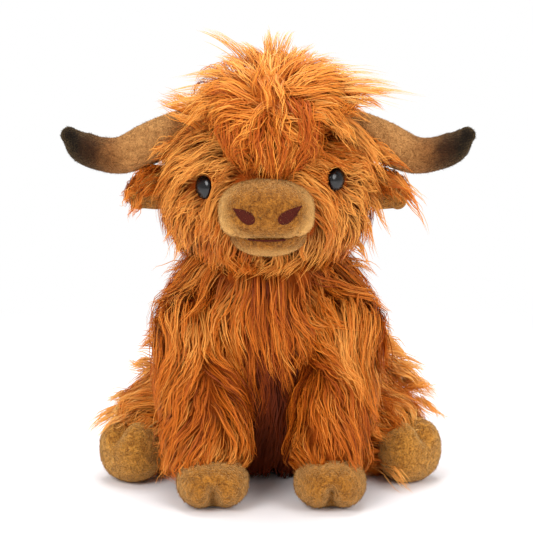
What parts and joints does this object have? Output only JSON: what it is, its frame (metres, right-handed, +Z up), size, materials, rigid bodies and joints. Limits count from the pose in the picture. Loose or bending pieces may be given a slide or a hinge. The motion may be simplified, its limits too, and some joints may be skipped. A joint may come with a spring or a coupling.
{
  "type": "plush cow",
  "caption": "Seated soft cow toy with long shaggy hair, velboa muzzle, horns and hooves, and a head, ears, legs and tail that flex where they are sewn on.",
  "frame": {"origin": "middle of the flat that the seat rests on", "axes": "+Z up, the cow faces -Y, +X towards its own left side"},
  "size_m": [0.2626, 0.2317, 0.2784],
  "materials": {
    "ginger_hair": "long wavy pile, brushed",
    "golden_hair": "long wavy pile, tips lighter",
    "tan_velboa": "short dense pile",
    "horn_velboa": "short dense pile, tan at the root and black at the tip",
    "dark_thread": "satin stitch embroidery",
    "eye_plastic": "polished black",
    "washer_nylon": "translucent white",
    "stuffing": "loose fibre",
    "bag_cloth": "plain woven"
  },
  "bodies": {
    "trunk": {"trunk_cover": "ginger_hair", "trunk_stuffing": "stuffing", "pellet_bag": "bag_cloth"},
    "head": {"head_cover": "ginger_hair", "head_stuffing": "stuffing", "topknot": "golden_hair", "muzzle": "tan_velboa", "lower_lip": "tan_velboa", "mouth_stitching": "dark_thread", "nostril_left": "dark_thread", "eye_left": "eye_plastic", "eye_washer_left": "washer_nylon", "horn_left": "horn_velboa", "horn_stuffing_left": "stuffing", "nostril_right": "dark_thread", "eye_right": "eye_plastic", "eye_washer_right": "washer_nylon", "horn_right": "horn_velboa", "horn_stuffing_right": "stuffing"},
    "ear_left": {"ear_back_left": "ginger_hair", "ear_lining_left": "tan_velboa"},
    "ear_right": {"ear_back_right": "ginger_hair", "ear_lining_right": "tan_velboa"},
    "front_leg_left": {"front_leg_left_cover": "ginger_hair", "front_leg_left_stuffing": "stuffing", "front_leg_left_hoof": "tan_velboa"},
    "front_leg_right": {"front_leg_right_cover": "ginger_hair", "front_leg_right_stuffing": "stuffing", "front_leg_right_hoof": "tan_velboa"},
    "hind_leg_left": {"hind_leg_left_cover": "ginger_hair", "hind_leg_left_stuffing": "stuffing", "hind_leg_left_hoof": "tan_velboa"},
    "hind_leg_right": {"hind_leg_right_cover": "ginger_hair", "hind_leg_right_stuffing": "stuffing", "hind_leg_right_hoof": "tan_velboa"},
    "tail": {"tail": "ginger_hair", "tail_tuft": "golden_hair"}
  },
  "joints": [
    {"name": "head_nod", "type": "hinge", "parent": "trunk", "child": "head", "pos_m": [0, -0.034, 0.128], "axis": [1, 0, 0], "range_deg": [-10, 12], "stiffness_Nm_per_rad": 2.5},
    {"name": "ear_left_flap", "type": "hinge", "parent": "head", "child": "ear_left", "pos_m": [0.059, -0.032, 0.197], "axis": [0, 1, 0], "range_deg": [-6, 18], "stiffness_Nm_per_rad": 0.15},
    {"name": "ear_right_flap", "type": "hinge", "parent": "head", "child": "ear_right", "pos_m": [-0.059, -0.032, 0.197], "axis": [0, -1, 0], "range_deg": [-6, 18], "stiffness_Nm_per_rad": 0.15},
    {"name": "front_leg_left_swing", "type": "hinge", "parent": "trunk", "child": "front_leg_left", "pos_m": [0.049, -0.052, 0.104], "axis": [-1, 0, 0], "range_deg": [0, 45], "stiffness_Nm_per_rad": 0.8},
    {"name": "front_leg_right_swing", "type": "hinge", "parent": "trunk", "child": "front_leg_right", "pos_m": [-0.049, -0.052, 0.104], "axis": [-1, 0, 0], "range_deg": [0, 45], "stiffness_Nm_per_rad": 0.8},
    {"name": "hind_leg_left_swing", "type": "hinge", "parent": "trunk", "child": "hind_leg_left", "pos_m": [0.056, -0.008, 0.043], "axis": [-0.5642, -0.4836, 0.6691], "range_deg": [0, 30], "stiffness_Nm_per_rad": 0.8},
    {"name": "hind_leg_right_swing", "type": "hinge", "parent": "trunk", "child": "hind_leg_right", "pos_m": [-0.056, -0.008, 0.043], "axis": [-0.5642, 0.4836, -0.6691], "range_deg": [0, 30], "stiffness_Nm_per_rad": 0.8},
    {"name": "tail_lift", "type": "hinge", "parent": "trunk", "child": "tail", "pos_m": [0, 0.06, 0.056], "axis": [1, 0, 0], "range_deg": [0, 45], "stiffness_Nm_per_rad": 0.15}
  ]
}
